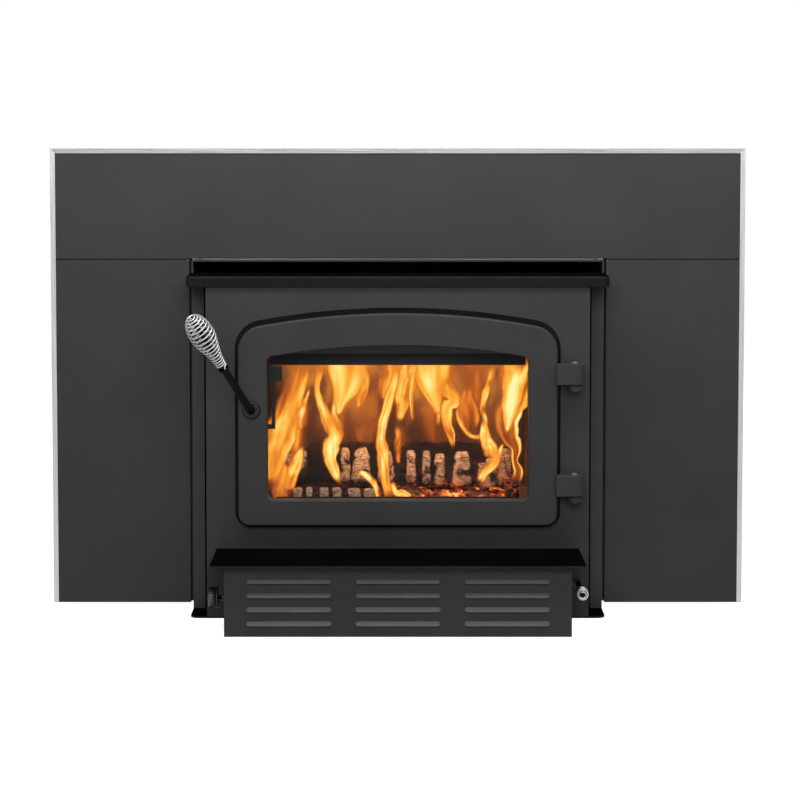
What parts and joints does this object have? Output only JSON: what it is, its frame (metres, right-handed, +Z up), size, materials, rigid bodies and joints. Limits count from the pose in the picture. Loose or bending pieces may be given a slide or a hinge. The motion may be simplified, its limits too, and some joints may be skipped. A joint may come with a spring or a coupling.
{
  "type": "fireplace insert",
  "caption": "Wood-burning fireplace insert with a flat surround, arched glazed door, coil-wire handle, ash lip and louvred fan box.",
  "frame": {"origin": "on the hearth, under the middle of the bounding box", "axes": "+X to the right seen from the room, along the surround's width; +Y into the chimney; +Z up"},
  "size_m": [1.1176, 0.66, 0.75],
  "materials": {
    "charcoal_paint": "satin heat-proof paint",
    "door_paint": "satin heat-proof paint on cast iron",
    "jacket_steel": "thin matt black coat",
    "black_steel": "black, semi-gloss",
    "trim_steel": "brushed along its length",
    "nickel_wire": "satin nickel",
    "stainless": "heat-tinted stainless steel",
    "window_glass": "clear ceramic glass",
    "fire_brick": "porous, sooted fire brick",
    "baffle_board": "pressed mineral board",
    "charred_wood": "charred, cracked bark and ends",
    "embers": "glowing coals and ash",
    "seal_rope": "woven glass-fibre rope",
    "knob_plastic": "black moulded plastic",
    "zinc_steel": "zinc plated"
  },
  "bodies": {
    "root": {"base_plate": "jacket_steel", "firebox_side_walls": "charcoal_paint", "firebox_floor": "charcoal_paint", "firebox_back_wall": "charcoal_paint", "firebox_top_plate": "charcoal_paint", "front_frame": "black_steel", "front_plate": "charcoal_paint", "jacket_left": "charcoal_paint", "jacket_right": "charcoal_paint", "jacket_back": "jacket_steel", "jacket_top": "jacket_steel", "top_shelf": "charcoal_paint", "flue_collar": "charcoal_paint", "surround_top_panel": "charcoal_paint", "surround_left_panel": "charcoal_paint", "surround_right_panel": "charcoal_paint", "trim_top": "trim_steel", "trim_left": "trim_steel", "trim_right": "trim_steel", "panel_brackets": "black_steel", "closing_strips": "black_steel", "floor_bricks": "fire_brick", "side_bricks": "fire_brick", "back_bricks": "fire_brick", "baffle_boards": "baffle_board", "air_tubes": "stainless", "air_manifolds": "stainless", "air_wash_deflector": "stainless", "ember_bed": "embers", "firewood_logs": "charred_wood", "hinge_brackets": "door_paint", "hinge_pins": "black_steel", "rod_guide": "black_steel", "air_inlet_box": "jacket_steel", "ash_lip": "charcoal_paint", "fan_box_top": "charcoal_paint", "fan_box_base": "charcoal_paint", "fan_box_sides": "charcoal_paint", "fan_box_grille": "charcoal_paint", "fan_scrolls": "zinc_steel", "fan_motor": "black_steel", "motor_cradle": "zinc_steel", "speed_control": "black_steel"},
    "door": {"door_frame": "door_paint", "door_glass": "window_glass", "glass_gasket": "seal_rope", "glass_retainers": "black_steel", "door_seal": "seal_rope", "handle_bushing": "black_steel", "latch_shield": "black_steel"},
    "latch_handle": {"handle_rod": "black_steel", "handle_grip": "nickel_wire", "latch_cam": "black_steel"},
    "air_control": {"control_rod": "black_steel", "air_pull_grip": "nickel_wire", "damper_plate": "stainless"},
    "fan_speed": {"speed_knob": "knob_plastic"},
    "fan_rotor": {"fan_shaft": "zinc_steel", "fan_wheels": "zinc_steel"}
  },
  "joints": [
    {"name": "door_swing", "type": "hinge", "parent": "root", "child": "door", "pos_m": [0.2803, -0.196, 0.32], "axis": [0, 0, 1], "range_deg": [0, 110]},
    {"name": "latch_turn", "type": "hinge", "parent": "door", "child": "latch_handle", "pos_m": [-0.232, -0.169, 0.336], "axis": [0, -1, 0], "range_deg": [0, 80]},
    {"name": "air_slide", "type": "slide", "parent": "root", "child": "air_control", "axis": [0, -1, 0], "range_m": [0, 0.05]},
    {"name": "speed_turn", "type": "hinge", "parent": "root", "child": "fan_speed", "pos_m": [-0.28, -0.249, 0.048], "axis": [-1, 0, 0], "range_deg": [0, 270]},
    {"name": "fan_spin", "type": "hinge", "parent": "root", "child": "fan_rotor", "pos_m": [0, -0.247, 0.055], "axis": [1, 0, 0], "continuous": true}
  ]
}
